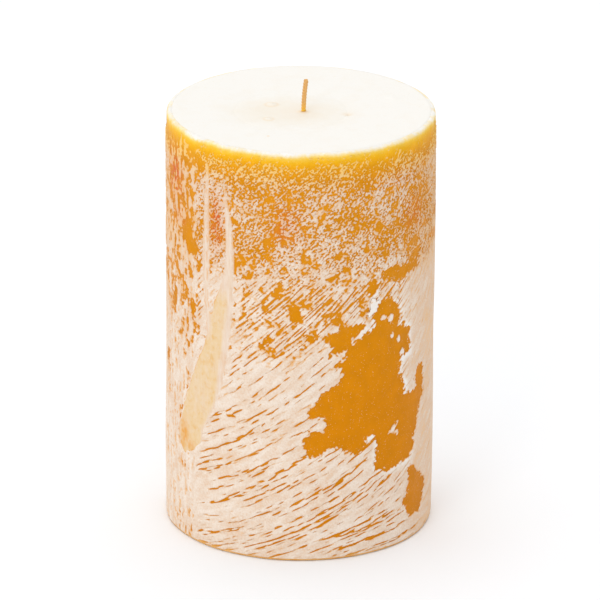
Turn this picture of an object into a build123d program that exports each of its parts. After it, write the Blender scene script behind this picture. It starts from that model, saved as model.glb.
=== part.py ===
from build123d import *
from math import cos, degrees, radians, sin
import os

os.makedirs("parts", exist_ok=True)

# A pillar candle for a wedding table: an ivory wax pillar, dipped once in amber wax,
# with a frosted outer layer that has flaked away in places.
# Frame: millimetres, +Z up, origin at the centre of the foot, front of the candle at -Y.

# ---- driving dimensions -------------------------------------------------------------
candle_height = 160.0
candle_radius = 50.0     # measured over the frost

# wax layers
frost_thickness = 0.5
overdip_thickness = 1.8
run_relief = 0.3         # the wax runs stand this much proud of the frost
flake_relief = 0.5       # and the curled flake this much

run_radius = candle_radius + run_relief
flake_radius = candle_radius + flake_relief
overdip_radius = candle_radius - frost_thickness
core_radius = overdip_radius - overdip_thickness

# edges
foot_bevel = 0.6         # bevel round the foot of the core
rim_radius = 0.3         # rounding round the top of the core
frost_foot = 1.4         # the frost stops above the bevelled foot
frost_top = 152.5        # and below the clear amber band at the rim

# wick and its sustainer
wick_radius = 0.9
wick_x = 0.8             # the wick stands a little off centre, towards the front
wick_y = -3.0
wick_exposed = 13.0
wick_bend_radius = 88.0
tab_radius = 10.0
tab_thickness = 0.4
tab_recess = 0.2
neck_radius = 1.9
neck_height = 7.0

# the second pour fills the sink that forms round the wick as the pillar cools
pour_radius = 21.0
pour_depth = 5.0
pour_drop = 0.3          # its surface lies this far below the rim
pour_x = -4.0
pour_y = -2.0

# cutting solids run this far past the surfaces they cut
overcut = 1.0

# a cylinder so aligned rises from the point where it is placed
rising = (Align.CENTER, Align.CENTER, Align.MIN)

# ---- outlines on the wall -----------------------------------------------------------
# Each point is (degrees round the wall from the front, height in mm).
# Degrees grow towards +X, so 90 is the right side and 180 is the back.

large_window = [
    (35.5, 100), (39, 99), (43.5, 98), (46.5, 96.5), (48, 92), (47.5, 88.5),
    (51, 87.5), (54.5, 85.5), (53.5, 82.5), (55, 75.5), (50.5, 75), (47.5, 70.5),
    (49, 66), (52, 64), (52, 59), (59.5, 59), (59.5, 64.5), (62.5, 68),
    (65, 68.5), (67, 63), (67, 58), (64, 52.5), (61, 47), (60.5, 43),
    (58.5, 41), (57, 34), (52.5, 32.5), (49, 33.5), (42.5, 31), (39.5, 33),
    (34.5, 34), (35.5, 43), (35, 46), (32, 47.5), (29.5, 46), (28.5, 43.5),
    (25, 41), (20, 42), (17, 44.5), (13.5, 45), (7, 41.5), (2.5, 42.5),
    (1, 45), (1.5, 49), (4, 51), (10, 51.5), (11, 55), (10, 57),
    (5, 57), (3.5, 59), (7, 63), (10, 67), (15, 69.5), (17.5, 72.5),
    (17.5, 75), (14.5, 76), (15, 78), (20, 79.5), (21, 82.5), (17, 83),
    (15, 81), (11, 80), (13.5, 85), (10, 88.5), (11, 90), (16, 90.5),
    (20.5, 93), (24, 93), (28.5, 91), (23.5, 87.5), (23, 85), (29, 87.5),
    (33.5, 90.5), (33, 94), (34, 97),
]
corner_window = [
    (53.5, 29.5), (57, 29.5), (61, 27), (65, 24.5), (69, 21.5), (69, 17),
    (66.5, 12), (63, 8.5), (56, 9.5), (53, 12), (51.5, 16), (54, 19), (54, 25),
]
wing_window = [
    (36.5, 110), (40, 106.5), (46.5, 104.5), (50, 106), (60, 108), (60, 111),
    (51.5, 110.5), (46, 113), (40, 112),
]
notch_window = [(30, 107.5), (34, 110), (35, 107), (33.5, 103), (30.5, 102.5)]
front_patch = [(-7.5, 101), (0, 100), (0.5, 97), (-2.5, 95), (-4, 96.5), (-6, 99)]
left_patch = [(-19, 86), (-16, 87), (-13, 89), (-11.5, 87), (-14, 85), (-16, 84)]
middle_patch = [(0.5, 84), (2, 86.5), (4, 89.5), (6.5, 89.5), (7.5, 88), (4, 86)]
upper_patch = [(10.5, 111.5), (14, 113.5), (15.5, 112), (14, 110)]
left_window = [
    (-60.5, 124), (-55, 126.5), (-53, 125), (-53, 120.5), (-50.5, 118), (-53, 115),
    (-55, 112), (-57, 116), (-60, 118),
]
ridge_patch = [(-50, 109.5), (-50, 112), (-48, 113.5), (-45.5, 114), (-46, 111), (-49, 107)]
low_left_patch = [(-55, 94.5), (-50, 95), (-51, 91), (-52, 88), (-54.5, 88.5), (-53.5, 92)]
far_left_patch = [(-68.5, 98), (-66, 97.5), (-65.5, 93), (-68, 87), (-70, 89)]
back_window = [
    (148, 96), (152, 104), (158, 108), (160, 114), (167, 117), (172, 113),
    (175, 106), (181, 103), (183, 96), (178, 90), (179, 83), (173, 78),
    (168, 80), (165, 74), (158, 72), (156, 78), (150, 80), (152, 87),
]
low_back_window = [
    (224, 40), (228, 47), (226, 53), (231, 59), (238, 61), (243, 56), (249, 54),
    (250, 47), (245, 42), (246, 35), (240, 31), (234, 34), (229, 33),
]
windows = [
    large_window, corner_window, wing_window, notch_window, front_patch, left_patch,
    middle_patch, upper_patch, left_window, ridge_patch, low_left_patch,
    far_left_patch, back_window, low_back_window,
]

# small bare patches on the sides and the back: one outline, about its own centre,
# then (degrees, height, scale) for each place
small_patch = [(-3.5, -0.5), (-1.5, 1.5), (1, 3), (3.5, 2.5), (3, 0), (1, -2.5), (-1.5, -2)]
small_patch_places = [
    (84, 124, 1.3), (97, 88, 1.6), (112, 56, 1.1), (118, 104, 1.2), (133, 66, 0.9),
    (138, 118, 1.4), (196, 122, 1.2), (200, 62, 1.5), (208, 90, 1.1), (213, 112, 1.6),
    (236, 96, 1.3), (252, 120, 1.2), (262, 84, 1.0), (272, 105, 1.4), (281, 66, 1.1),
]

# pale wax that ran down the left of the front: a broad run and a narrow ridge
broad_run = [
    (-35, 154), (-33, 141), (-30, 131), (-29, 120), (-28.5, 108), (-29, 98),
    (-30.5, 86), (-32, 76), (-34.5, 66), (-37, 59), (-42, 51), (-45, 46), (-46, 41),
    (-51, 36), (-58, 33), (-63, 36), (-64, 43), (-60, 52), (-55, 63), (-50, 72),
    (-45, 81), (-42, 90), (-39, 100), (-34, 110), (-33, 120), (-33.5, 132),
]
narrow_run = [
    (-43, 155.5), (-42, 146), (-42, 130), (-41.5, 108), (-40.5, 90), (-43, 80),
    (-45, 96), (-46, 112), (-45.5, 130), (-44, 146),
]

# chips of frost left standing inside the large window
window_chips = [
    [(45.5, 88.5), (46.5, 89.8), (49, 90), (50.5, 89), (49, 87.8), (46.5, 87.8)],
    [(47.8, 77), (49.5, 78.7), (51.5, 77.2), (50.5, 75.8), (48.5, 75.7)],
    [(36.5, 92.5), (38, 94), (39.8, 93), (39, 91.8), (37.2, 91.6)],
    [(40.5, 92), (42, 93.6), (43.5, 92.4), (42.8, 90.8), (41, 90.8)],
    [(41.5, 85), (42.6, 86.6), (43.8, 85), (43, 83.8)],
    [(46, 82.6), (47.2, 83.6), (48.3, 82.4), (47, 81.4)],
    [(41, 46), (43.5, 48.5), (47.5, 50), (47, 48), (44, 45.6)],
    [(44.5, 45), (46, 46.4), (47.8, 46), (46.6, 44.4)],
]
# one thick white chip that curls off the frost at the top of the large window
curled_chip = [(31.5, 101.5), (35.5, 99.8), (33.8, 96.5), (31.5, 94.5), (28.8, 94.8), (30.4, 97.5)]


def wall_plane(azimuth):
    """The upright plane through the candle's axis that faces one side of the wall."""
    turn = radians(azimuth)
    return Plane(
        origin=(0, 0, 0),
        x_dir=(cos(turn), sin(turn), 0),
        z_dir=(sin(turn), -cos(turn), 0),
    )


def wall_prism(outline):
    """A solid that projects an outline of wall points outwards, past the wall."""
    azimuth = sum(turn for turn, height in outline) / len(outline)
    flat_points = [
        (overdip_radius * sin(radians(turn - azimuth)), height) for turn, height in outline
    ]
    with BuildPart(mode=Mode.PRIVATE) as prism:
        with BuildSketch(wall_plane(azimuth)):
            with BuildLine():
                Polyline(*flat_points, close=True)
            make_face()
        extrude(amount=flake_radius + overcut)
    return prism.part


def wall_shell(inner_radius, outer_radius, bottom, top):
    """A thin sleeve round the wall, between two radii and two heights."""
    with BuildPart(mode=Mode.PRIVATE) as shell:
        with BuildSketch(Plane.XY.offset(bottom)):
            Circle(outer_radius)
            Circle(inner_radius, mode=Mode.SUBTRACT)
        extrude(amount=top - bottom)
    return shell.part


def small_patch_at(turn, height, scale):
    """The small patch's outline, enlarged and moved to its place on the wall."""
    return [(turn + scale * along, height + scale * up) for along, up in small_patch]


run_prisms = [wall_prism(broad_run), wall_prism(narrow_run)]
window_prisms = [wall_prism(outline) for outline in windows]
window_prisms += [wall_prism(small_patch_at(*place)) for place in small_patch_places]

tab_top = tab_recess + tab_thickness
rim_start = candle_height - rim_radius
pour_top = candle_height - pour_drop

# ---- wick: waxed cotton braid, straight through the pillar, bent a little at the tip --
with BuildPart() as wick:
    with BuildLine(Plane.XZ.offset(-wick_y)) as wick_line:
        buried = Line((wick_x, tab_recess), (wick_x, pour_top))
        JernArc(
            start=buried @ 1,
            tangent=buried % 1,
            radius=wick_bend_radius,
            arc_size=-degrees(wick_exposed / wick_bend_radius),
        )
    with BuildSketch(Plane.XY.offset(tab_recess)):
        with Locations((wick_x, wick_y)):
            Circle(wick_radius)
    sweep(path=wick_line.line)
wick.part.label = "wick"

# ---- sustainer: pressed tin-plate disc with a neck crimped on the wick ----------------
with BuildPart() as wick_sustainer:
    with BuildSketch(Plane.XY.offset(tab_recess)):
        with Locations((wick_x, wick_y)):
            Circle(tab_radius)
    extrude(amount=tab_thickness)
    with BuildSketch(Plane.XY.offset(tab_top)):
        with Locations((wick_x, wick_y)):
            Circle(neck_radius)
    extrude(amount=neck_height)
    with Locations((wick_x, wick_y, 0)):
        Cylinder(wick_radius, candle_height, align=rising, mode=Mode.SUBTRACT)
wick_sustainer.part.label = "wick_sustainer"

# ---- second pour: a shallow lens of warmer wax round the wick -------------------------
with BuildPart() as lens_blank:
    with BuildSketch(Plane.XZ):
        with BuildLine():
            sink = TangentArc(
                (0, pour_top - pour_depth),
                (pour_radius, pour_top),
                tangent=(1, 0),
            )
            Polyline(sink @ 1, (0, pour_top), sink @ 0)
        make_face()
    revolve(axis=Axis.Z)
lens = Pos(pour_x, pour_y, 0) * lens_blank.part
with BuildPart() as second_pour:
    add(lens)
    with Locations((wick_x, wick_y, 0)):
        Cylinder(wick_radius, candle_height, align=rising, mode=Mode.SUBTRACT)
second_pour.part.label = "second_pour"

# ---- core: the ivory pillar, bored for the wick, with a bevelled foot and a soft rim --
with BuildPart() as wax_core:
    with BuildSketch(Plane.XZ):
        with BuildLine():
            Polyline(
                (0, candle_height),
                (0, 0),
                (core_radius - foot_bevel, 0),
                (core_radius, foot_bevel),
                (core_radius, rim_start),
            )
            rim = TangentArc(
                (core_radius, rim_start),
                (core_radius - rim_radius, candle_height),
                tangent=(0, 1),
            )
            Line(rim @ 1, (0, candle_height))
        make_face()
    revolve(axis=Axis.Z)
    with Locations((pour_x, pour_y, pour_top)):
        Cylinder(pour_radius, pour_drop, align=rising, mode=Mode.SUBTRACT)
    add(lens, mode=Mode.SUBTRACT)
    add(wick_sustainer.part, mode=Mode.SUBTRACT)
    with Locations((wick_x, wick_y, 0)):
        Cylinder(tab_radius, tab_recess, align=rising, mode=Mode.SUBTRACT)
        Cylinder(wick_radius, candle_height, align=rising, mode=Mode.SUBTRACT)
wax_core.part.label = "wax_core"

# ---- overdip: the amber wax sleeve, bevelled at the foot and rounded at the rim --------
with BuildPart() as amber_overdip:
    with BuildSketch(Plane.XZ):
        with BuildLine():
            Polyline(
                (core_radius, rim_start),
                (core_radius, foot_bevel),
                (overdip_radius - foot_bevel, foot_bevel),
                (overdip_radius, 2 * foot_bevel),
                (overdip_radius, rim_start - overdip_thickness),
            )
            TangentArc(
                (overdip_radius, rim_start - overdip_thickness),
                (core_radius, rim_start),
                tangent=(0, 1),
            )
        make_face()
    revolve(axis=Axis.Z)
amber_overdip.part.label = "amber_overdip"

# ---- frost: a thin opaque crust over the overdip, open at every window and run --------
with BuildPart() as frost_crust:
    add(wall_shell(overdip_radius, candle_radius, frost_foot, frost_top))
    for prism in window_prisms + run_prisms:
        add(prism, mode=Mode.SUBTRACT)
frost_crust.part.label = "frost_crust"

# ---- chips: scraps of the same frost left inside the large window ---------------------
with BuildPart() as frost_chips:
    for outline in window_chips:
        add(wall_prism(outline))
    add(wall_prism(large_window), mode=Mode.INTERSECT)
    add(wall_shell(overdip_radius, candle_radius, frost_foot, frost_top), mode=Mode.INTERSECT)
frost_chips.part.label = "frost_chips"

# ---- curled chip: one thick white flake lying on the frost ----------------------------
with BuildPart() as curled_flake:
    add(wall_prism(curled_chip))
    add(wall_shell(candle_radius, flake_radius, frost_foot, frost_top), mode=Mode.INTERSECT)
curled_flake.part.label = "curled_flake"

# ---- wax run: pale wax that ran down the wall and set in two joined tongues -----------
with BuildPart() as wax_run:
    for prism in run_prisms:
        add(prism)
    add(wall_shell(overdip_radius, run_radius, frost_foot, rim_start), mode=Mode.INTERSECT)
wax_run.part.label = "wax_run"

pieces = [
    wax_core, second_pour, amber_overdip, frost_crust, frost_chips, curled_flake, wax_run,
    wick, wick_sustainer,
]
for piece in pieces:
    export_step(piece.part, f"parts/{piece.part.label}.step")
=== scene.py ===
import math

import bpy
import numpy as np
from mathutils import Matrix, Vector
from mathutils.bvhtree import BVHTree


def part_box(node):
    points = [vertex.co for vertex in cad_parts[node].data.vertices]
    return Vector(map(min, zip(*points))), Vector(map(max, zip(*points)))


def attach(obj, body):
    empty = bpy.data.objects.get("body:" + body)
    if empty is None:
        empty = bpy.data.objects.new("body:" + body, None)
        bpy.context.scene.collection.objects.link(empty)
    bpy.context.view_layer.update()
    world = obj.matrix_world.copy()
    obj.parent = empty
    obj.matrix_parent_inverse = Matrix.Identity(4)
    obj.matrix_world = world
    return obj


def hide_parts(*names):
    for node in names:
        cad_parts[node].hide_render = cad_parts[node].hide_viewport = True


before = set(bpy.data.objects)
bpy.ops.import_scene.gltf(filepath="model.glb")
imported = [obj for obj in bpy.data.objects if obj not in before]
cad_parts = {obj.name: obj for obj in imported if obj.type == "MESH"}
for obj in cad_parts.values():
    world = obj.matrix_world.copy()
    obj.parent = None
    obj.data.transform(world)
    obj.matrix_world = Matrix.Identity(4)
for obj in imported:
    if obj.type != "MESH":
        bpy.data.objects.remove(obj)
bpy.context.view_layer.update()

# The looks of a frosted pillar candle. Lengths are in millimetres until a mesh is made.
MM = 0.001


def corner_mm(node, which):
    """A CAD node's lowest (0) or highest (1) corner, in millimetres."""
    return np.array(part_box(node)[which]) / MM


# ---- sizes taken from the frame ---------------------------------------------------------
CRUST_RADIUS = corner_mm("frost_crust", 1)[0]
CRUST_FOOT = corner_mm("frost_crust", 0)[2]
CRUST_TOP = corner_mm("frost_crust", 1)[2]
DIP_RADIUS = corner_mm("amber_overdip", 1)[0]
CORE_RADIUS = corner_mm("wax_core", 1)[0]
TOP = corner_mm("wax_core", 1)[2]
POUR_LOW, POUR_HIGH = corner_mm("second_pour", 0), corner_mm("second_pour", 1)
POUR_RADIUS = (POUR_HIGH[0] - POUR_LOW[0]) / 2
POUR_X, POUR_Y = ((POUR_LOW + POUR_HIGH) / 2)[:2]
POUR_TOP = POUR_HIGH[2]
WICK_LOW, WICK_HIGH = corner_mm("wick", 0), corner_mm("wick", 1)
WICK_RADIUS = (WICK_HIGH[1] - WICK_LOW[1]) / 2
WICK_X = WICK_LOW[0] + WICK_RADIUS
WICK_Y = (WICK_LOW[1] + WICK_HIGH[1]) / 2
TAB_LOW, TAB_HIGH = corner_mm("wick_sustainer", 0), corner_mm("wick_sustainer", 1)
TAB_RADIUS = (TAB_HIGH[0] - TAB_LOW[0]) / 2

# ---- the wall grid ------------------------------------------------------------------------
# Fields over the wall are arrays of rows (height) by columns (turn round the candle).
# Turn is in degrees, 0 at the front (-Y) and 90 at the right (+X).
COLUMNS = 1152
ROWS = 640
MARGIN = 8.0             # the grid runs this far past the foot and the rim
TURN = -180.0 + np.arange(COLUMNS) * 360.0 / COLUMNS
HEIGHT = np.linspace(-MARGIN, TOP + MARGIN, ROWS)
CELL_ROUND = 2 * math.pi * DIP_RADIUS / COLUMNS
CELL_UP = HEIGHT[1] - HEIGHT[0]
turn_map, height_map = np.meshgrid(TURN, HEIGHT)
random = np.random.default_rng(11)


def ease(values, start, end):
    """0 before start, 1 after end, and a smooth step between them."""
    share = np.clip((values - start) / (end - start), 0.0, 1.0)
    return share * share * (3 - 2 * share)


def blurred(field, size_round, size_up):
    """A Gaussian blur that wraps round the candle; the sizes are in millimetres."""
    waves_round = np.fft.fftfreq(COLUMNS, CELL_ROUND)[None, :]
    waves_up = np.fft.fftfreq(ROWS, CELL_UP)[:, None]
    fade = np.exp(-2 * math.pi**2 * ((size_round * waves_round) ** 2 + (size_up * waves_up) ** 2))
    return np.fft.ifft2(np.fft.fft2(field) * fade).real


def ranked(field):
    """The field's ranks, spread evenly from 0 to 1, so that a threshold is a coverage."""
    ranks = np.empty(field.size)
    ranks[field.ravel().argsort()] = np.linspace(0, 1, field.size)
    return ranks.reshape(field.shape)


def blotches(size):
    """Rounded random patches of about this size."""
    return ranked(blurred(random.standard_normal((ROWS, COLUMNS)), size / 2, size / 2))


def sampled(field, row, column):
    """The field between grid points. It wraps round the candle and stops at foot and rim."""
    row = np.clip(row, 0, ROWS - 1.001)
    low_row, low_column = np.floor(row).astype(int), np.floor(column).astype(int)
    up, along = row - low_row, column - low_column
    left, right = low_column % COLUMNS, (low_column + 1) % COLUMNS
    lower = field[low_row, left] * (1 - along) + field[low_row, right] * along
    upper = field[low_row + 1, left] * (1 - along) + field[low_row + 1, right] * along
    return lower * (1 - up) + upper * up


def streaks(width, length, slope, step=0.6):
    """Random marks drawn out along the slope field, which is in radians above level."""
    noise = random.standard_normal((ROWS, COLUMNS))
    grain = blurred(noise, width / 2, width / 2) - 0.7 * blurred(noise, width, width)
    total = grain.copy()
    home_row, home_column = np.mgrid[0:ROWS, 0:COLUMNS].astype(float)
    for way in (-1, 1):
        row, column = home_row.copy(), home_column.copy()
        for walked in np.arange(step, length / 2, step):
            angle = sampled(slope, row, column)
            row += way * step * np.sin(angle) / CELL_UP
            column += way * step * np.cos(angle) / CELL_ROUND
            weight = math.cos(math.pi * walked / length)
            total += weight * sampled(grain, row, column)
    return ranked(total)


def inside(node, outer_radius):
    """True where a ray from outside meets the node's outer skin at this radius."""
    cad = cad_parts[node]
    tree = BVHTree.FromObject(cad, bpy.context.evaluated_depsgraph_get())
    start_radius = outer_radius + 5.0
    reach = (5.0 + 0.2) * MM
    low, high = corner_mm(node, 0)[2], corner_mm(node, 1)[2]
    rows = np.nonzero((HEIGHT > low) & (HEIGHT < high))[0]
    mask = np.zeros((ROWS, COLUMNS), bool)
    for column, turn in enumerate(np.radians(TURN)):
        inward = Vector((-math.sin(turn), math.cos(turn), 0))
        for row in rows:
            start = -inward * start_radius * MM
            start.z = HEIGHT[row] * MM
            mask[row, column] = tree.ray_cast(start, inward, reach)[0] is not None
    return mask


def edge_distance(mask, reach=8):
    """Millimetres to the mask's edge, above zero inside it, up to reach cells."""
    far = np.full(mask.shape, reach * CELL_UP)
    for up in range(-reach, reach + 1):
        for along in range(-reach, reach + 1):
            distance = math.hypot(up * CELL_UP, along * CELL_ROUND) - CELL_UP / 2
            other = np.roll(mask, (up, along), (0, 1)) != mask
            far = np.where(other & (distance < far), distance, far)
    return blurred(np.where(mask, far, -far), 0.35, 0.35)


# ---- fields on the wall ---------------------------------------------------------------------
FROST_START = 0.7        # height of the frost's lower edge
RUN_RELIEF = 0.3         # the wax runs stand this much proud of the frost
FLAKE_RELIEF = 0.5       # and the curled flake this much
crust_mask = inside("frost_crust", CRUST_RADIUS)
run_mask = inside("wax_run", CRUST_RADIUS + RUN_RELIEF)
chip_mask = inside("frost_chips", CRUST_RADIUS)
flake_mask = inside("curled_flake", CRUST_RADIUS + FLAKE_RELIEF)


def by_height(heights, values):
    """A field with these values at these heights, and even steps between them."""
    return np.interp(height_map, heights, values)


def by_turn(turns, values):
    """A field with these values at these turns, and even steps between them."""
    return np.interp(turn_map, turns, values)


def spots(places):
    """A field that is high at each (turn, height, width, height of spot, strength)."""
    total = np.zeros((ROWS, COLUMNS))
    for turn, height, wide, tall, strength in places:
        away = ((turn_map - turn) / wide) ** 2 + ((height_map - height) / tall) ** 2
        total = np.maximum(total, strength * np.exp(-away))
    return total


# The brush marks rise to the right. They are steeper higher up, flatter low on the left, and nearly
# level at the right of the foot. Left of the wax run they stand upright, as far as a wavy border at
# the back.
UPRIGHT = 88             # degrees above level
far_turn = turn_map + 9 * np.sin(height_map / 19) + 5 * np.sin(height_map / 7)
left_zone = ease(turn_map, -47, -53) * ease(far_turn, -140, -95)
slope_up = by_height([0, 9, 21, 33, 57, 69, 105, 160], [22, 25, 29, 32, 35, 40, 45, 46])
slope_up += by_turn([-150, -60, -20], [0, -14, 0]) * ease(height_map, 80, 50)
slope_up -= by_turn([0, 40, 60, 120], [0, 20, 20, 0]) * ease(height_map, 24, 6)
slope = np.radians(slope_up * (1 - left_zone) + UPRIGHT * left_zone)

# The random fields of the frost. Each one runs evenly from 0 to 1.
scratches = streaks(0.45, 8.0, slope)
links = streaks(0.9, 1.8, slope)
grains = streaks(0.42, 1.3, slope)
bark = streaks(1.1, 6.0, slope)
brush = streaks(0.5, 14.0, slope)
bands = streaks(3.0, 20.0, slope)
tone = streaks(1.4, 7.0, slope)
coarse = blotches(7.0)
medium = blotches(2.4)
fine = blotches(0.7)
dashes = streaks(0.5, 4.2, slope)
dash_rows = streaks(0.9, 40.0, slope)


def whole_frost():
    """1 where the frost has no scratches, and 0 where it may have them."""
    right_side = ease(turn_map, 44, 56) * ease(turn_map, 130, 105)
    right_side *= ease(height_map, 26, 34) * ease(height_map, 112, 104)
    between_runs = ease(turn_map, -48, -45) * ease(turn_map, -30, -33)
    between_runs *= ease(height_map, 116, 108) * ease(height_map, 56, 66)
    run_side = by_height([51, 59, 66, 76, 86, 98, 108], [-42, -37, -34.5, -32, -30.5, -29, -28.5])
    from_run = turn_map - run_side
    beside_run = ease(from_run, -4, -2) * ease(from_run + 3 * (medium - 0.5), 3.2, 2.0)
    beside_run *= ease(height_map, 54, 62) * ease(height_map, 112, 104)
    low_left = 0.6 * left_zone * ease(height_map, 96, 60) * ease(coarse, 0.1, 0.4)
    return np.max([right_side, between_runs, beside_run, low_left], axis=0)


def frost_cover(whole):
    """The share of the wall that the frost covers, from place to place."""
    cover = by_height(
        [0, 6, 14, 25, 40, 65, 78, 88, 98, 108, 118, 128, 140, 150, 154, 156.5],
        [0.88, 0.86, 0.87, 0.91, 0.93, 0.93, 0.91, 0.85, 0.79, 0.73, 0.62, 0.56, 0.58, 0.50, 0.30, 0.0],
    )
    on_the_left = by_height(
        [0, 40, 90, 112, 125, 146, 156.5], [0.95, 0.92, 0.86, 0.76, 0.56, 0.44, 0.0]
    )
    cover += (on_the_left - cover) * left_zone
    cover += 0.36 * (coarse - 0.5) * ease(height_map, 90, 116)
    cover += (bands - 0.5) * by_height([0, 70, 85, 96, 116, 150], [0.10, 0.10, 0.2, 0.24, 0.16, 0.10])
    cover -= spots([
        (18, 14, 14, 12, 0.14), (40, 18, 12, 14, 0.12), (-27, 10, 20, 8, 0.08), (55, 132, 34, 14, 0.12),
    ])
    cover += spots([
        (-4, 60, 10, 8, 0.05), (-24, 30, 14, 30, 0.02), (66, 16, 14, 18, 0.2), (2, 146, 16, 5, 0.1),
    ])
    return cover + (1.0 - cover) * whole


def scratched(whole):
    """Above zero on frost, and below zero in its scratches, dashes and pores.

    Grain lies near the rim and upright bark on the left. Elsewhere long scratches turn into rows
    of short dashes lower down, and some long scratches come back near the foot.
    """
    grainy = ease(height_map, 102, 118) * (1 - left_zone)
    lined = 1 - grainy - left_zone
    mixed = 0.25 * ease(height_map, 55, 85)
    chained = ease(height_map, 86, 72) * (0.45 + 0.55 * ease(height_map, 6, 32))
    long_marks = (1 - mixed) * (0.82 * scratches + 0.18 * links) + mixed * fine
    short_marks = 0.44 * dashes + 0.56 * dash_rows
    pattern = lined * (long_marks + chained * (short_marks - long_marks))
    pattern += grainy * (0.55 * grains + 0.30 * fine + 0.15 * scratches)
    pattern += left_zone * (0.45 * bark + 0.35 * fine + 0.2 * medium)
    sharpness = 1.6 + 4.5 * chained * (1 - left_zone)
    return sharpness * (ranked(pattern) - (1 - frost_cover(whole))) + 0.12 * whole


def flaked(whole):
    """Above zero on frost, and below zero in the small patches where it has flaked off."""
    bare_share = by_height(
        [55, 75, 82, 95, 115, 130, 150], [-0.3, -0.25, -0.05, 0.05, 0.11, 0.05, 0.0]
    )
    bare_share += left_zone * by_height([70, 100, 125, 150], [0, 0.04, 0.12, 0.08])
    bare_share += spots([
        (50, 84, 3.5, 10, 0.35), (38, 102, 8, 3, 0.15), (20, 96, 8, 4, 0.15), (-48, 149, 1.4, 8, 0.9),
    ])
    bare_share += spots([
        (-3, 97, 3.0, 2.3, 0.85), (-17, 84.5, 3.2, 1.8, 0.95), (-28, 55, 6.0, 0.8, 0.9),
    ])
    return 2.5 * (medium - bare_share) + 0.8 * (fine - 0.5) + 0.8 * whole


def frost_field():
    """About the distance in millimetres to the frost's edge, above zero on the frost."""
    whole = whole_frost()
    ragged_window = window + ragged
    crumbs = 0.3 * window + 1.6 * (0.5 * grains + 0.5 * fine - 0.80)
    crumbs += spots([
        (43, 90, 5, 8, 0.55), (50, 78, 3, 8, 0.4), (53, 66, 4, 6, 0.3), (10, 92, 8, 4, 0.2),
        (47, 108, 9, 3, 0.7), (60, 20, 7, 8, 0.5),
    ])
    frost = np.where(window < 0, np.maximum(ragged_window, crumbs), ragged_window)
    above_foot = 1.5 * (height_map - FROST_START)
    frost = np.min([frost, scratched(whole), flaked(whole), above_foot], axis=0)
    return np.maximum(frost, 1.2 * run_edge)


# the crust's foot and top don't count as edges of a window
past_crust = (height_map > CRUST_TOP - 1) | (height_map < CRUST_FOOT + 1)
window = edge_distance(crust_mask | run_mask | past_crust)
run_edge = edge_distance(run_mask)
ragged = 1.1 * (medium - 0.5) + 1.5 * (fine - 0.5) + 0.8 * (scratches - 0.5)
frost = frost_field()
# how far the dipped wall swells in and out
undulation = (blurred(coarse, 6, 8) - 0.5) / 1.5


# ---- meshes from grids ----------------------------------------------------------------------
def wall_points(radius):
    """Points on the wall grid at these radii."""
    angle = np.radians(turn_map)
    return np.stack([radius * np.sin(angle), -radius * np.cos(angle), height_map], -1)


def ring_normals(points):
    """Outward unit normals of a grid whose rows run round the candle."""
    along = np.roll(points, -1, 1) - np.roll(points, 1, 1)
    normals = np.cross(along, np.gradient(points, axis=0))
    return normals / np.linalg.norm(normals, axis=-1, keepdims=True)


def grid_mesh(name, points, cells, fields, normals=None):
    """A mesh of the kept cells of a grid of points in millimetres.

    cells may be as large as the grid, and then its last row or column joins the first.
    Fields become point attributes of the same name.
    """
    rows, columns = points.shape[:2]
    row, column = np.nonzero(cells)
    steps = [(0, 0), (0, 1), (1, 1), (1, 0)]
    corners = [(row + up) % rows * columns + (column + along) % columns for up, along in steps]
    places = [((column + along) / cells.shape[1], (row + up) / cells.shape[0]) for up, along in steps]
    used, loops = np.unique(np.stack(corners, 1), return_inverse=True)
    loops = loops.ravel()
    mesh = bpy.data.meshes.new(name)
    mesh.vertices.add(len(used))
    mesh.vertices.foreach_set("co", (points.reshape(-1, 3)[used] * MM).ravel())
    mesh.loops.add(len(loops))
    mesh.loops.foreach_set("vertex_index", loops)
    mesh.polygons.add(len(row))
    mesh.polygons.foreach_set("loop_start", np.arange(0, len(loops), 4))
    mesh.update(calc_edges=True)
    layer = mesh.uv_layers.new(name="OFBake")
    layer.data.foreach_set("uv", np.stack([np.stack(place, -1) for place in places], 1).ravel())
    for field_name, field in fields.items():
        attribute = mesh.attributes.new(field_name, "FLOAT", "POINT")
        attribute.data.foreach_set("value", np.broadcast_to(field, (rows, columns)).ravel()[used])
    mesh.shade_smooth()
    if normals is not None:
        mesh.normals_split_custom_set_from_vertices(normals.reshape(-1, 3)[used])
    piece = bpy.data.objects.new(name, mesh)
    bpy.context.scene.collection.objects.link(piece)
    return piece


def finish_piece(piece, node, material):
    """The piece rides on the candle, stands for its CAD node and gets its material."""
    piece.data.materials.append(material)
    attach(piece, "root")
    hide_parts(node)


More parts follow.
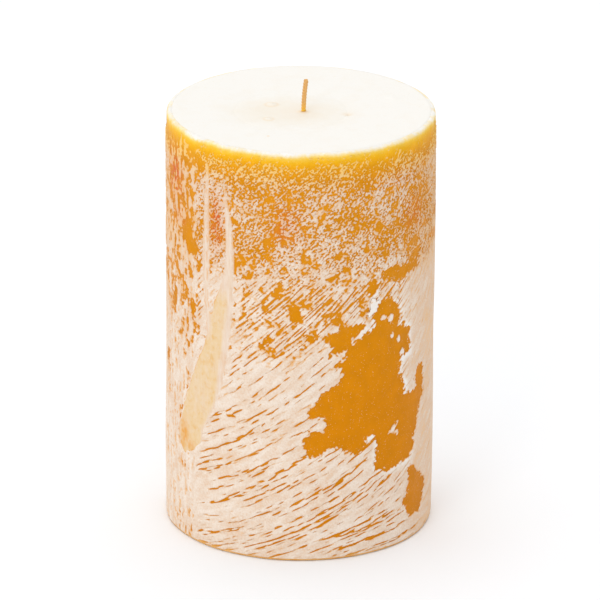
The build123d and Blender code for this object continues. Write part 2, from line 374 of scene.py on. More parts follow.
# ---- material nodes ---------------------------------------------------------------------------
class Shader:
    """A Principled material and short calls that add and join its nodes."""

    def __init__(self, name, roughness=0.5, specular=0.3):
        self.material = bpy.data.materials.new(name)
        self.material.use_nodes = True
        self.tree = self.material.node_tree
        self.surface = self.tree.nodes["Principled BSDF"]
        self.surface.inputs["Roughness"].default_value = roughness
        self.surface.inputs["Specular IOR Level"].default_value = specular

    def node(self, kind, **settings):
        made = self.tree.nodes.new(kind)
        for key, value in settings.items():
            setattr(made, key, value)
        return made

    def put(self, socket, value):
        if isinstance(value, bpy.types.NodeSocket):
            self.tree.links.new(value, socket)
        elif isinstance(value, tuple) and len(value) == 3 and socket.type == "RGBA":
            socket.default_value = (*value, 1.0)
        else:
            socket.default_value = value

    def position(self):
        return self.node("ShaderNodeTexCoord").outputs["Object"]

    def field(self, name):
        return self.node("ShaderNodeAttribute", attribute_name=name).outputs["Fac"]

    def math(self, operation, first, second=0.0):
        made = self.node("ShaderNodeMath", operation=operation)
        self.put(made.inputs[0], first)
        self.put(made.inputs[1], second)
        return made.outputs[0]

    def spread(self, value, low, high, to_low=0.0, to_high=1.0, smooth=False):
        """The value, moved from one range to another and held at the ends."""
        made = self.node("ShaderNodeMapRange")
        made.interpolation_type = "SMOOTHSTEP" if smooth else "LINEAR"
        self.put(made.inputs["Value"], value)
        made.inputs["From Min"].default_value = low
        made.inputs["From Max"].default_value = high
        made.inputs["To Min"].default_value = to_low
        made.inputs["To Max"].default_value = to_high
        return made.outputs["Result"]

    def noise(self, size_mm, detail=3.0, vector=None, stretch=None):
        """Noise from 0 to 1 with marks of this size. stretch scales each axis first."""
        vector = vector or self.position()
        if stretch:
            scaled = self.node("ShaderNodeMapping")
            self.put(scaled.inputs["Vector"], vector)
            scaled.inputs["Scale"].default_value = stretch
            vector = scaled.outputs["Vector"]
        made = self.node("ShaderNodeTexNoise")
        self.put(made.inputs["Vector"], vector)
        made.inputs["Scale"].default_value = 1 / (size_mm * MM)
        made.inputs["Detail"].default_value = detail
        return made.outputs["Fac"]

    def blend(self, share, first, second, how="MIX"):
        made = self.node("ShaderNodeMix", data_type="RGBA", blend_type=how)
        self.put(made.inputs["Factor"], share)
        self.put(made.inputs[6], first)
        self.put(made.inputs[7], second)
        return made.outputs[2]

    def ramp(self, share, stops):
        """A colour ramp; stops are (place, colour)."""
        made = self.node("ShaderNodeValToRGB")
        self.put(made.inputs["Fac"], share)
        elements = made.color_ramp.elements
        while len(elements) < len(stops):
            elements.new(0.5)
        for element, (place, colour) in zip(elements, stops):
            element.position = place
            element.color = (*colour, 1.0)
        return made.outputs["Color"]

    def bump(self, height, depth_mm):
        made = self.node("ShaderNodeBump")
        made.inputs["Distance"].default_value = depth_mm * MM
        self.put(made.inputs["Height"], height)
        self.put(self.surface.inputs["Normal"], made.outputs["Normal"])

    def grey(self, value):
        made = self.node("ShaderNodeCombineColor")
        for socket in made.inputs[:3]:
            self.put(socket, value)
        return made.outputs[0]

    def set(self, socket, value):
        self.put(self.surface.inputs[socket], value)


# colours, linear
AMBER_LIGHT = (0.78, 0.31, 0.008)
BLUSH = (0.70, 0.12, 0.03)
BLUSH_PALE = (0.78, 0.32, 0.20)
PEACH_DEEP = (0.80, 0.46, 0.20)
PEACH = (0.82, 0.55, 0.32)
CREAM_PINK = (0.78, 0.58, 0.43)
CREAM = (0.82, 0.67, 0.54)
CREAM_LIGHT = (0.88, 0.77, 0.67)
WHITE = (0.90, 0.85, 0.79)
GOLD_PALE = (0.92, 0.58, 0.17)
STRAW = (0.80, 0.57, 0.31)
STRAW_LIGHT = (0.81, 0.60, 0.36)
STRAW_DEEP = (0.78, 0.50, 0.22)
IVORY = (0.885, 0.862, 0.815)
IVORY_WARM = (0.86, 0.80, 0.70)
STAIN = (0.85, 0.55, 0.22)
PAPER = (0.955, 0.975, 1.0)
# (height in mm, colour) up the amber wax: light comes through it near the rim, painted in as yellow and
# ivory, and the palest stops at the foot are painted light that lifts the shade under it
AMBER_STOPS = [
    (0.0, (0.84, 0.50, 0.20)), (0.8, (0.78, 0.38, 0.08)), (2.5, (0.66, 0.225, 0.001)),
    (60.0, (0.68, 0.235, 0.001)), (120.0, (0.71, 0.262, 0.002)),
    (149.0, (0.74, 0.285, 0.004)), (152.8, (0.80, 0.335, 0.005)), (155.0, (0.88, 0.41, 0.005)),
    (156.8, (0.93, 0.49, 0.012)), (158.1, (0.955, 0.59, 0.06)), (159.0, (0.945, 0.71, 0.25)),
    (159.6, (0.90, 0.83, 0.65)), (160.0, IVORY),
]
# and up the wick, from the wax it stands in
WICK_STOPS = [
    (0.0, (0.95, 0.56, 0.05)), (1.6, (0.92, 0.50, 0.08)), (4.0, (0.82, 0.46, 0.15)),
    (13.0, (0.80, 0.45, 0.16)),
]


def amber_colour(shader):
    """Amber wax, yellow then ivory towards the rim where painted light shines through it, paler at the
    foot with painted light, with red blushes and fine pale specks.
    """
    up = shader.node("ShaderNodeSeparateXYZ")
    shader.put(up.inputs[0], shader.position())
    drift = shader.spread(shader.noise(9.0, 2.0), 0.25, 0.75, -0.004, 0.004)
    fine_drift = shader.spread(shader.noise(1.2, 2.0), 0.25, 0.75, -0.002, 0.002)
    place = shader.spread(up.outputs["Z"], 0.0, TOP * MM)
    place = shader.math("ADD", place, shader.math("ADD", drift, fine_drift))
    colour = shader.ramp(place, [(height / TOP, colour) for height, colour in AMBER_STOPS])
    mottle = shader.spread(shader.noise(5.0, 3.0), 0.3, 0.7, 0.94, 1.04)
    colour = shader.blend(1.0, colour, shader.grey(mottle), "MULTIPLY")
    blush = shader.spread(shader.noise(2.0, 2.0), 0.35, 0.6)
    colour = shader.blend(shader.math("MULTIPLY", shader.field("blush"), blush), colour, BLUSH)
    speck = shader.spread(shader.noise(0.5, 1.0), 0.68, 0.75, 0.0, 0.5)
    return shader.blend(speck, colour, PEACH)


def frost_material(name, white=0.0):
    """Frosted wax where the frost field is above zero, and amber wax below it."""
    shader = Shader(name, specular=0.1)
    ragged = shader.spread(shader.noise(0.3, 3.0), 0.3, 0.7, -0.07, 0.07)
    frost = shader.math("ADD", shader.field("frost"), ragged)
    cover = shader.spread(frost, -0.05, 0.07, smooth=True)
    thick = shader.spread(frost, 0.0, 0.55)
    mottle = shader.spread(shader.noise(0.7, 3.0), 0.3, 0.7, -0.25, 0.25)
    # the tone field also holds painted shade on the candle's right side
    tone = shader.math("ADD", shader.field("tone"), mottle)
    body = shader.ramp(tone, [(0.0, PEACH), (0.3, CREAM_PINK), (0.6, CREAM), (1.0, CREAM_LIGHT)])
    # the white field whitens the chips and the flake, and paints a highlight along the large window's
    # right edge
    body = shader.blend(shader.field("white"), body, WHITE)
    body = shader.blend(white, body, WHITE)
    body = shader.blend(shader.math("MULTIPLY", shader.field("blush"), 0.5), body, BLUSH_PALE)
    skin = shader.blend(shader.field("golden"), shader.blend(thick, PEACH_DEEP, body), GOLD_PALE)
    shader.set("Base Color", shader.blend(cover, amber_colour(shader), skin))
    shader.set("Roughness", shader.spread(cover, 0.0, 1.0, 0.42, 0.78))
    grain = shader.noise(0.5, 4.0)
    shader.bump(shader.math("MULTIPLY", grain, shader.spread(cover, 0.0, 1.0, 0.25, 1.0)), 0.12)
    return shader.material


def amber_material():
    shader = Shader("amber_wax", specular=0.05)
    shader.set("Base Color", amber_colour(shader))
    shader.set("Roughness", shader.spread(shader.noise(3.0), 0.3, 0.7, 0.36, 0.50))
    shader.bump(shader.noise(1.6, 4.0), 0.05)
    return shader.material


def run_material():
    """Pale wax: cream high up and at the right edge, straw lower down, and amber where it is thin."""
    shader = Shader("run_wax", roughness=0.5, specular=0.15)
    straws = [(0.3, STRAW_DEEP), (0.45, STRAW), (0.65, STRAW_LIGHT)]
    straw = shader.ramp(shader.noise(2.5, 3.0), straws)
    creams = [(0.35, CREAM_PINK), (0.6, CREAM), (0.8, CREAM_LIGHT)]
    cream = shader.ramp(shader.noise(0.9, 3.0, stretch=(1, 1, 0.15)), creams)
    streak = shader.spread(shader.noise(0.9, 3.0, stretch=(1, 1, 0.08)), 0.3, 0.7, -0.2, 0.2)
    colour = shader.blend(shader.math("ADD", shader.field("straw"), streak), cream, straw)
    fleck = shader.spread(shader.noise(1.4, 4.0), 0.5, 0.72, 0.0, 0.5)
    colour = shader.blend(fleck, colour, CREAM)
    colour = shader.blend(shader.field("amber"), colour, AMBER_LIGHT)
    shader.set("Base Color", colour)
    shader.bump(shader.noise(0.7, 4.0, stretch=(1, 1, 0.25)), 0.10)
    return shader.material


def top_material(name):
    """Ivory wax, warmer where the second pour lies, with small pits and flecks."""
    shader = Shader(name, specular=0.15)
    drift = shader.spread(shader.noise(6.0), 0.3, 0.7, -0.2, 0.2)
    warm = shader.math("ADD", shader.field("warm"), drift)
    colour = shader.ramp(warm, [(0.0, IVORY), (1.0, IVORY_WARM)])
    fleck = shader.spread(shader.noise(1.3, 2.0), 0.62, 0.70, 0.0, 0.35)
    colour = shader.blend(fleck, colour, IVORY_WARM)
    colour = shader.blend(shader.field("stain"), colour, STAIN)
    shader.set("Base Color", colour)
    shader.set("Roughness", shader.spread(shader.noise(4.0), 0.3, 0.7, 0.45, 0.65))
    shader.bump(shader.noise(1.0, 4.0), 0.06)
    return shader.material


def wick_material():
    """Waxed cotton: tan above and golden at the foot, where it is soaked in wax."""
    shader = Shader("waxed_cotton", roughness=0.6)
    up = shader.node("ShaderNodeSeparateXYZ")
    shader.put(up.inputs[0], shader.position())
    place = shader.spread(up.outputs["Z"], TOP * MM, WICK_HIGH[2] * MM)
    colour = shader.ramp(place, [(height / WICK_STOPS[-1][0], colour) for height, colour in WICK_STOPS])
    fibre = shader.spread(shader.noise(0.18, 3.0, stretch=(1, 1, 0.3)), 0.3, 0.7, 0.82, 1.1)
    shader.set("Base Color", shader.blend(1.0, colour, shader.grey(fibre), "MULTIPLY"))
    shader.bump(shader.noise(0.12, 3.0, stretch=(1, 1, 0.3)), 0.04)
    return shader.material


def tin_material():
    shader = Shader("tin_plate", roughness=0.3, specular=0.5)
    shader.set("Metallic", 1.0)
    shade = shader.spread(shader.noise(1.5, 4.0), 0.3, 0.7, 0.62, 0.78)
    shader.set("Base Color", shader.grey(shade))
    shader.set("Roughness", shader.spread(shader.noise(0.8, 4.0), 0.3, 0.7, 0.25, 0.45))
    shader.bump(shader.noise(0.5, 4.0), 0.01)
    return shader.material


frosted = frost_material("frosted_wax")
white_frost = frost_material("white_frost", white=0.5)
amber = amber_material()


# ---- the frost ------------------------------------------------------------------------------
SHEET_LIFT = 0.03        # the frost's sheet lies this far off the overdip at its edges
FROST_RISE = 0.42        # and this much further away from them
PANELS = 8               # the crust is made in this many sheets
DIP_BELOW_TOP = 0.2      # the overdip ends this much below the top face
RIM_ROUND = 1.3          # and its shoulder is rounded this much
RIM_BEND = TOP - DIP_BELOW_TOP - RIM_ROUND
blush = spots([
    (-68, 141, 7, 9, 1.0), (-64, 126, 6, 3, 0.7), (-38, 130, 3.5, 10, 1.0), (-6, 132, 6, 7, 0.6),
    (57, 130, 7, 6, 0.5), (45, 146, 12, 3, 0.3), (118, 132, 9, 7, 0.8), (-150, 126, 7, 9, 0.8),
    (170, 138, 8, 6, 0.6),
])
golden = ease(height_map, 143, 155)
frost_tone_and_shade = 0.60 + 0.35 * (tone - 0.5) + 0.22 * (coarse - 0.5) - 0.30 * ease(height_map, 98, 124)
frost_tone_and_shade -= 0.2 * left_zone * ease(height_map, 60, 100)
# painted shade: the frost on the right side of the candle, away from the key light, is made darker
frost_tone_and_shade -= 0.3 * ease(turn_map, 48, 62) * ease(turn_map, 130, 105)
# the frost is whitest along the right edge of the large window, partly where it is thick and partly a
# painted highlight on its raised edge
edge_white_and_highlight = ease(window, 2.5, 0.2) * ease(turn_map, 22, 28) * ease(turn_map, 62, 52)
edge_white_and_highlight *= ease(height_map, 26, 34) * ease(height_map, 108, 102)


def frost_rise(field):
    """How far frost rises from its edge: steep at first, then flat, with brush marks."""
    return FROST_RISE * np.clip(field / 0.5, 0, 1) ** 0.6 * (0.9 + 0.2 * (brush - 0.5))


wall_fields = {
    "frost": frost, "tone": frost_tone_and_shade, "white": edge_white_and_highlight, "blush": blush, "golden": golden,
}
frost_points = wall_points(DIP_RADIUS + SHEET_LIFT + undulation + frost_rise(frost))
frost_normals = ring_normals(frost_points)
# The sheets run a little past the frost's edge, where their material is amber, and a little way
# under the wax runs.
kept = (frost > -0.5) & (run_edge < 1.2) & (height_map > 0.4) & (height_map < RIM_BEND - 0.2)
for panel in range(PANELS):
    part = np.arange(panel * COLUMNS // PANELS, (panel + 1) * COLUMNS // PANELS + 1) % COLUMNS
    corner_kept = kept[:, part]
    cells = corner_kept[:-1, :-1] | corner_kept[1:, :-1] | corner_kept[:-1, 1:] | corner_kept[1:, 1:]
    fields = {name: field[:, part] for name, field in wall_fields.items()}
    panel_name = f"frost_crust_{panel + 1}"
    piece = grid_mesh(panel_name, frost_points[:, part], cells, fields, frost_normals[:, part])
    finish_piece(piece, "frost_crust", frosted)


def wall_piece(name, field, radius, least, fields):
    """A sheet on the wall at these radii, over the cells where a field is above a value."""
    kept_points = field > least
    cells = kept_points & np.roll(kept_points, -1, 1)
    cells = cells[:-1] & cells[1:]
    points = wall_points(radius)
    return grid_mesh(name, points, cells, fields, ring_normals(points))


chip_edge = edge_distance(chip_mask) + 0.5 * ragged
chip_radius = DIP_RADIUS + SHEET_LIFT + undulation + frost_rise(chip_edge)
chip_fields = {"frost": chip_edge, "tone": frost_tone_and_shade, "white": 0.6, "blush": 0.0, "golden": 0.0}
chips = wall_piece("frost_chips", chip_edge, chip_radius, -0.35, chip_fields)
finish_piece(chips, "frost_chips", frosted)

FLAKE_LIFT = 0.02        # the flake's skin starts this far off the crust at its edge
FLAKE_RISE = 0.40        # and rises this much towards its middle
FLAKE_CURL = 0.25        # its upper edge curls up this much more
FLAKE_THICKNESS = 0.3
flake_edge = edge_distance(flake_mask) + 0.7 * ragged
curl = FLAKE_CURL * ease(flake_edge, 1.0, 0.0) * ease(height_map, 96, 101)
flake_radius = CRUST_RADIUS + FLAKE_LIFT + FLAKE_RISE * np.clip(flake_edge / 0.5, 0, 1) ** 0.5 + curl
flake_fields = {"frost": flake_edge + 0.3, "tone": 1.0, "white": 0.6, "blush": 0.0, "golden": 0.0}
flake = wall_piece("curled_flake", flake_edge, flake_radius, -0.2, flake_fields)
solid = flake.modifiers.new("thickness", "SOLIDIFY")
solid.thickness = FLAKE_THICKNESS * MM
solid.offset = -1
finish_piece(flake, "curled_flake", white_frost)

# ---- the wax run ----------------------------------------------------------------------------
RUN_LIFT = 0.06          # the run's sheet lies this far off the overdip at its edges
RUN_GRAIN = 86           # degrees above level of the marks in it
run_field = run_edge + 0.35 * (medium - 0.5) + 0.3 * (fine - 0.5)
run_field -= 0.25 * ease(turn_map, -39, -41) * ease(height_map, 84, 94)
# the broad run's right edge stays cream from top to bottom
run_right = by_height([47, 51, 59, 66, 76, 86, 98, 108], [-46, -43, -38.8, -37.5, -36, -34, -32.5, -31])
from_right = turn_map - run_right
straw = ease(height_map, 107, 97) * np.maximum(ease(turn_map, -42, -39.5), ease(height_map, 88, 80))
straw *= ease(run_edge, 0.0, 1.0) * (0.7 + 0.5 * coarse) * ease(from_right, 1.5, -1.5)
upright = streaks(0.8, 12.0, np.full((ROWS, COLUMNS), math.radians(RUN_GRAIN)))
swell = 1 - (1 - np.clip(run_field / 1.6, 0, 1)) ** 2
run_thickness = 0.58 + 0.18 * (upright - 0.5) + 0.12 * (medium - 0.5)
run_radius = DIP_RADIUS + RUN_LIFT + undulation + swell * run_thickness
run_amber = spots([
    (-58, 42, 3, 5, 1.0), (-61, 36.5, 3, 2.5, 0.9), (-53, 38, 3, 2, 0.6), (-33, 70, 1, 6, 0.5),
])
run_amber *= 0.5 + 0.5 * fine
outline = 0.6 * np.exp(-(((run_field - 0.75) / 0.25) ** 2)) * ease(from_right, -3, -6)
run_amber = np.maximum(run_amber, outline * ease(medium, 0.2, 0.6))
run = wall_piece("wax_run", run_field, run_radius, -0.15, {"amber": run_amber, "straw": straw})
finish_piece(run, "wax_run", run_material())

# ---- lathed pieces ----------------------------------------------------------------------------
AXIS = np.array([0.0, 0.0])
WICK_AXIS = np.array([WICK_X, WICK_Y])


def arc(start, end, steps):
    """Points on a quarter ellipse that leaves start upwards and reaches end flat."""
    share = np.linspace(0, math.pi / 2, steps)
    radius = end[0] + (start[0] - end[0]) * np.cos(share)
    height = start[1] + (end[1] - start[1]) * np.sin(share)
    return list(zip(radius, height))


def rings(outline, columns, inner=AXIS, outer=AXIS):
    """Rings of points for an outline of (radius, height, share).

    Share 0 centres a ring on the inner point, and share 1 on the outer point.
    """
    radius, height, share = (column[:, None] for column in np.array(outline, float).T)
    angle = np.linspace(0, 2 * math.pi, columns, endpoint=False)[None, :]
    x = inner[0] + (outer[0] - inner[0]) * share + radius * np.sin(angle)
    y = inner[1] + (outer[1] - inner[1]) * share - radius * np.cos(angle)
    return np.stack([x, y, height + 0 * x], -1)


def lathe(name, points, fields, closed=True):
    """A mesh of rings of points; closed joins the last ring to the first."""
    rows = len(points) if closed else len(points) - 1
    return grid_mesh(name, points, np.ones((rows, points.shape[1]), bool), fields)


FOOT_ROUND = 0.6         # the rounding at the overdip's foot
DIP_LIFT = 0.15          # the foot stands this far off the floor
DIP_COLUMNS = 432
dip_outline = [(CORE_RADIUS - 0.4, 0.2), (DIP_RADIUS - FOOT_ROUND, DIP_LIFT)]
for bend in np.radians([20, 40, 60, 80]):
    inward, upward = 1 - math.sin(bend), 1 - math.cos(bend)
    dip_outline.append((DIP_RADIUS - FOOT_ROUND * inward, DIP_LIFT + FOOT_ROUND * upward))
dip_outline += [(DIP_RADIUS, height) for height in np.arange(FOOT_ROUND + 0.4, RIM_BEND, 0.8)]
dip_outline += arc((DIP_RADIUS, RIM_BEND), (DIP_RADIUS - RIM_ROUND, RIM_BEND + RIM_ROUND), 9)
dip_outline += [(CORE_RADIUS + 0.04, TOP - 0.12), (CORE_RADIUS + 0.01, TOP - 0.15)]
dip_outline += [(CORE_RADIUS + 0.01, height) for height in (TOP - 3, TOP / 2, 1.2)]
dip_points = rings([(radius, height, 0) for radius, height in dip_outline], DIP_COLUMNS)
dip_turn = np.degrees(np.arctan2(dip_points[..., 0], -dip_points[..., 1]))
row_at = (dip_points[..., 2] - HEIGHT[0]) / CELL_UP
column_at = (dip_turn - TURN[0]) / (TURN[1] - TURN[0])
on_wall = np.array([radius > CORE_RADIUS + 0.5 for radius, height in dip_outline])[:, None]
swollen = 1 + on_wall * sampled(undulation, row_at, column_at) / DIP_RADIUS
dip_points[..., :2] *= swollen[..., None]
overdip = lathe("amber_overdip", dip_points, {"blush": sampled(blush, row_at, column_at)})
finish_piece(overdip, "amber_overdip", amber)

# The top of the candle: (x, y, radius, rise) of each droplet, bump and dimple
marks = [
    (-11, 5, 2.3, 0.7), (-12, -11, 1.8, 0.5), (17, -5, 2.6, -0.35), (34, 12, 3.5, 0.4),
    (-27, 14, 2.0, 0.15), (9, 20, 2.8, 0.12), (22, -22, 3.0, -0.12), (-30, -12, 3.5, -0.10),
    (4, -16, 1.6, 0.18), (-5, 14, 1.4, 0.15), (28, -8, 1.5, 0.12), (-18, -24, 2.2, 0.12),
]
swells = [(0.21, 0.13, 0.4), (-0.11, 0.24, 1.9), (0.33, -0.19, 3.1), (0.09, 0.41, 5.0)]


def top_relief(x, y):
    """The shape of the candle's top face above or below its mean height."""
    relief = sum(0.03 * np.sin(across * x + along * y + phase) for across, along, phase in swells)
    for mark_x, mark_y, radius, rise in marks:
        relief = relief + rise * np.exp(-((x - mark_x) ** 2 + (y - mark_y) ** 2) / (radius / 1.6) ** 2)
    return relief


def top_fields(points):
    """Where the top face is warm, and where it is stained."""
    x, y = points[..., 0], points[..., 1]
    warm = np.exp(-(((x + 5) / 21) ** 2 + ((y + 3) / 15) ** 2) ** 1.5)
    spot = 0.3 * np.exp(-((x - 17) ** 2 + (y + 5) ** 2) / 3.0)
    speck = 0.9 * np.exp(-((x + 12) ** 2 + (y + 30) ** 2) / 0.15)
    foot = 0.8 * np.exp(-((x - WICK_X) ** 2 + (y - WICK_Y) ** 2) / 2.0)
    rings_of_wax = sum(
        0.22 * np.exp(-((np.hypot(x - mark_x, y - mark_y) / radius - 1.0) / 0.25) ** 2)
        for mark_x, mark_y, radius, rise in marks[:2]
    )
    stain = np.clip(spot + speck + foot + rings_of_wax, 0, 1)
    on_top = points[..., 2] > TOP - 5
    return {"warm": warm * on_top, "stain": on_top * stain}


TOP_COLUMNS = 480
TOP_RINGS = 112
RIM_START = CORE_RADIUS - 0.6
SINK_DEPTH = 5.0         # the core dips this much more under the second pour
TAB_GAP = 0.1            # the wax stays this far off the wick tab
POCKET_TOP = 0.65        # height of the pocket for the tab's disc
NECK_RADIUS = 2.1        # of the hole for the tab's neck
NECK_TOP = TAB_HIGH[2] + TAB_GAP
top_radii = np.linspace(WICK_RADIUS, RIM_START, TOP_RINGS)
core_outline = [
    (radius, TOP - 0.05, (radius - WICK_RADIUS) / (RIM_START - WICK_RADIUS)) for radius in top_radii
]
core_outline += [
    (CORE_RADIUS - 0.03, TOP - 0.1, 1), (CORE_RADIUS, TOP - 0.13, 1), (CORE_RADIUS, TOP / 2, 1),
    (CORE_RADIUS, 1.2, 1), (CORE_RADIUS - 0.2, 0.8, 1), (CORE_RADIUS - 1, 0.05, 1),
    (CORE_RADIUS - 1.6, 0, 1), (TAB_RADIUS + 3, 0, 0.1), (TAB_RADIUS + 0.4, 0, 0),
    (TAB_RADIUS + TAB_GAP, 0.12, 0), (TAB_RADIUS + TAB_GAP, POCKET_TOP, 0),
    (NECK_RADIUS, POCKET_TOP, 0), (NECK_RADIUS, NECK_TOP, 0), (WICK_RADIUS, NECK_TOP, 0),
]
core_points = rings(core_outline, TOP_COLUMNS, WICK_AXIS, AXIS)
x, y = core_points[..., 0], core_points[..., 1]
from_pour = np.hypot(x - POUR_X, y - POUR_Y) - POUR_RADIUS
sink = (TOP - POUR_TOP) * ease(from_pour, 7, 0)
sink += SINK_DEPTH * np.clip(-from_pour / POUR_RADIUS, 0, 1) ** 0.9
on_top = (np.arange(len(core_outline)) < TOP_RINGS)[:, None]
fade = ease(np.hypot(x, y), CORE_RADIUS, RIM_START - 4)
core_points[..., 2] += on_top * (top_relief(x, y) * fade - sink)
core = lathe("wax_core", core_points, top_fields(core_points))
finish_piece(core, "wax_core", top_material("ivory_wax"))

POUR_COLUMNS = 360
POUR_RINGS = 56
pour_radii = np.linspace(WICK_RADIUS, POUR_RADIUS + 0.4, POUR_RINGS)
pour_share = (pour_radii - WICK_RADIUS) / (pour_radii[-1] - WICK_RADIUS)
pour_outline = [(radius, POUR_TOP, share) for radius, share in zip(pour_radii, pour_share)]
pour_outline += [(POUR_RADIUS + 0.3, POUR_TOP - 0.35, 1), (POUR_RADIUS * 0.7, POUR_TOP - 2.5, 1)]
pour_outline += [(POUR_RADIUS * 0.35, POUR_TOP - 4.2, 0.5), (WICK_RADIUS, POUR_TOP - 4.8, 0)]
pour_points = rings(pour_outline, POUR_COLUMNS, WICK_AXIS, np.array([POUR_X, POUR_Y]))
x, y = pour_points[..., 0], pour_points[..., 1]
from_wick = np.hypot(x - WICK_X, y - WICK_Y) - WICK_RADIUS
meniscus = 0.35 * np.exp(-from_wick / 0.4) + 0.10 * np.exp(-from_wick / 1.8)
edge_dip = 0.12 * ease(np.hypot(x - POUR_X, y - POUR_Y), POUR_RADIUS - 1.5, POUR_RADIUS + 0.4)
on_top = (np.arange(len(pour_outline)) < POUR_RINGS)[:, None]
pour_points[..., 2] += on_top * (top_relief(x, y) + meniscus - edge_dip)
pour = lathe("second_pour", pour_points[::-1], top_fields(pour_points[::-1]))
finish_piece(pour, "second_pour", top_material("warm_wax"))

# ---- the wick and its tab -----------------------------------------------------------------------
BEND_RADIUS = 88.0       # of the wick above the wax
STRANDS = 3              # yarns in the braid, which shows above the wax
YARN_RADIUS = 0.5
BRAID_PITCH = 3.6        # the height of one turn of the braid
YARN_SIDES = 10
CORD_SIDES = 16
TAB_COLUMNS = 96


def wick_centre(height):
    """The middle of the wick at this height: straight in the wax, then bent a little to the right."""
    above = np.clip(height - POUR_TOP, 0, None)
    return WICK_X + BEND_RADIUS - np.sqrt(BEND_RADIUS**2 - above**2)


def tube(name, path, radius, sides, fields):
    """A tube along a path of points, with a radius at each point."""
    along = np.gradient(path, axis=0)
    along /= np.linalg.norm(along, axis=1, keepdims=True)
    side = np.cross(along, [0, 1, 0])
    side /= np.linalg.norm(side, axis=1, keepdims=True)
    other = np.cross(along, side)
    angle = np.linspace(0, 2 * math.pi, sides, endpoint=False)[None, :, None]
    spokes = np.cos(angle) * side[:, None] + np.sin(angle) * other[:, None]
    points = path[:, None] + radius[:, None, None] * spokes
    return lathe(name, points, fields, closed=False)


cotton = wick_material()
heights = np.arange(POUR_TOP - 1.5, WICK_HIGH[2] - 0.35, 0.12)
for strand in range(STRANDS):
    phase = 2 * math.pi * strand / STRANDS
    turned = heights * 2 * math.pi / BRAID_PITCH + phase
    path = np.stack([
        wick_centre(heights) + (WICK_RADIUS - YARN_RADIUS) * np.sin(turned),
        WICK_Y + 0.30 * np.sin(2 * turned),
        heights + 0.12 * np.sin(3 * turned),
    ], 1)
    end = heights[-1] - heights
    thick = YARN_RADIUS * (1 + 0.02 * np.sin(9 * turned)) * np.sqrt(np.clip(end / 0.5, 0.02, 1))
    yarn = tube(f"wick_yarn_{strand + 1}", path, thick, YARN_SIDES, {})
    finish_piece(yarn, "wick", cotton)

# the cord is the wick inside the wax, and the core of the braid above it
hidden = [WICK_LOW[2], TAB_HIGH[2], POUR_TOP - 2]
heights = np.concatenate([hidden, np.arange(POUR_TOP, WICK_HIGH[2] - 0.5, 0.5)])
path = np.stack([wick_centre(heights), WICK_Y + 0 * heights, heights], 1)
cord_radius = np.where(heights < POUR_TOP - 1, WICK_RADIUS - 0.05, 0.5)
cord_radius[[0, -1]] = 0.05
cord = tube("wick_cord", path, cord_radius, CORD_SIDES, {})
finish_piece(cord, "wick", cotton)

# disc with a rolled edge and a bead ring, then the crimped neck
tab_outline = [
    (1.0, 0.2), (4.2, 0.2), (4.7, 0.33), (5.2, 0.2), (TAB_RADIUS - 0.5, 0.2), (TAB_RADIUS - 0.15, 0.24),
    (TAB_RADIUS, 0.4), (TAB_RADIUS - 0.15, 0.56), (TAB_RADIUS - 0.5, 0.6), (5.2, 0.6), (4.7, 0.73),
    (4.2, 0.6), (2.4, 0.6), (2.0, 0.9), (1.9, 1.4), (1.9, 5.6), (1.75, 6.0), (1.9, 6.4), (1.9, 7.4),
    (1.75, 7.6), (1.0, 7.6),
]
tab_rings = [(radius, height, 0) for radius, height in tab_outline]
tab_points = rings(tab_rings, TAB_COLUMNS, WICK_AXIS)
tab = lathe("wick_sustainer", tab_points, {})
finish_piece(tab, "wick_sustainer", tin_material())

# ---- room, light and camera ---------------------------------------------------------------------
FLOOR_REACH = 6.0        # metres from the candle to each side of the floor
floor_corners = [
    (-FLOOR_REACH, -FLOOR_REACH, 0), (FLOOR_REACH, -FLOOR_REACH, 0),
    (FLOOR_REACH, FLOOR_REACH, 0), (-FLOOR_REACH, FLOOR_REACH, 0),
]
floor_mesh = bpy.data.meshes.new("floor")
floor_mesh.from_pydata(floor_corners, [], [(0, 1, 2, 3)])
floor = bpy.data.objects.new("floor", floor_mesh)
bpy.context.scene.collection.objects.link(floor)
floor_shader = Shader("paper_floor", roughness=0.9, specular=0.0)
floor_shader.set("Base Color", PAPER)
floor_mesh.materials.append(floor_shader.material)

world = bpy.data.worlds.new("studio")
bpy.context.scene.world = world
world.use_nodes = True
sky = world.node_tree
background = sky.nodes["Background"]
background.inputs["Color"].default_value = (1.0, 1.0, 1.0, 1.0)
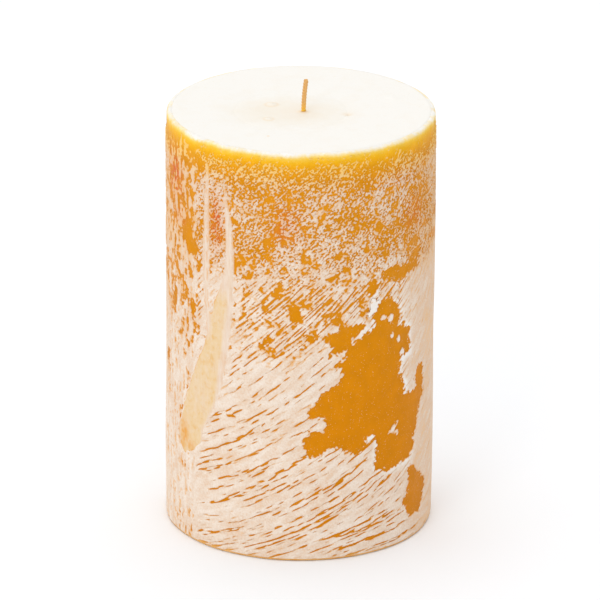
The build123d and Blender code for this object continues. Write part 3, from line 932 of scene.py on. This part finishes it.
# A grey card to the right of the candle takes some light off that side: the sky fades from full
# strength at the card's edge to this share at its middle.
CARD_SIDE = (0.95, -0.3, 0.0)
CARD_EDGE, CARD_MIDDLE = 0.4, 0.9
CARD_LIGHT = 0.6
facing = sky.nodes.new("ShaderNodeVectorMath")
facing.operation = "DOT_PRODUCT"
facing.inputs[1].default_value = CARD_SIDE
sky.links.new(sky.nodes.new("ShaderNodeTexCoord").outputs["Generated"], facing.inputs[0])
card = sky.nodes.new("ShaderNodeMapRange")
card.inputs["From Min"].default_value = CARD_EDGE
card.inputs["From Max"].default_value = CARD_MIDDLE
card.inputs["To Min"].default_value = 1.0
card.inputs["To Max"].default_value = CARD_LIGHT
sky.links.new(facing.outputs["Value"], card.inputs["Value"])
sky.links.new(card.outputs["Result"], background.inputs["Strength"])
bpy.context.scene.view_settings.view_transform = "Standard"


def softbox(name, place, aim, size, power):
    """A square area light, size metres wide, that faces aim."""
    light = bpy.data.lights.new(name, "AREA")
    light.shape = "SQUARE"
    light.size = size
    light.energy = power
    lamp = bpy.data.objects.new(name, light)
    lamp.location = place
    lamp.rotation_euler = (Vector(aim) - Vector(place)).to_track_quat("-Z", "Y").to_euler()
    bpy.context.scene.collection.objects.link(lamp)


AIM = Vector((0, 0, 0.080))
softbox("key", (-1.2, -2.4, 1.5), AIM, 1.0, 9)
softbox("overhead", (0.1, 0.3, 2.4), AIM, 1.6, 7)

CAMERA_DISTANCE = 2.332
CAMERA_ELEVATION = math.radians(21.4)
CAMERA_ROLL = math.radians(0.4)
CAMERA_LENS = 375.5      # millimetres
CAMERA_SHIFT = 0.018     # upwards, as a share of the picture
camera = bpy.data.objects.new("camera", bpy.data.cameras.new("camera"))
backwards = Vector((0, -math.cos(CAMERA_ELEVATION), math.sin(CAMERA_ELEVATION)))
camera.location = AIM + CAMERA_DISTANCE * backwards
tilt = Matrix.Rotation(math.pi / 2 - CAMERA_ELEVATION, 3, "X")
camera.rotation_euler = (tilt @ Matrix.Rotation(CAMERA_ROLL, 3, "Z")).to_euler()
camera.data.lens = CAMERA_LENS
camera.data.shift_y = CAMERA_SHIFT
bpy.context.scene.collection.objects.link(camera)
bpy.context.scene.camera = camera
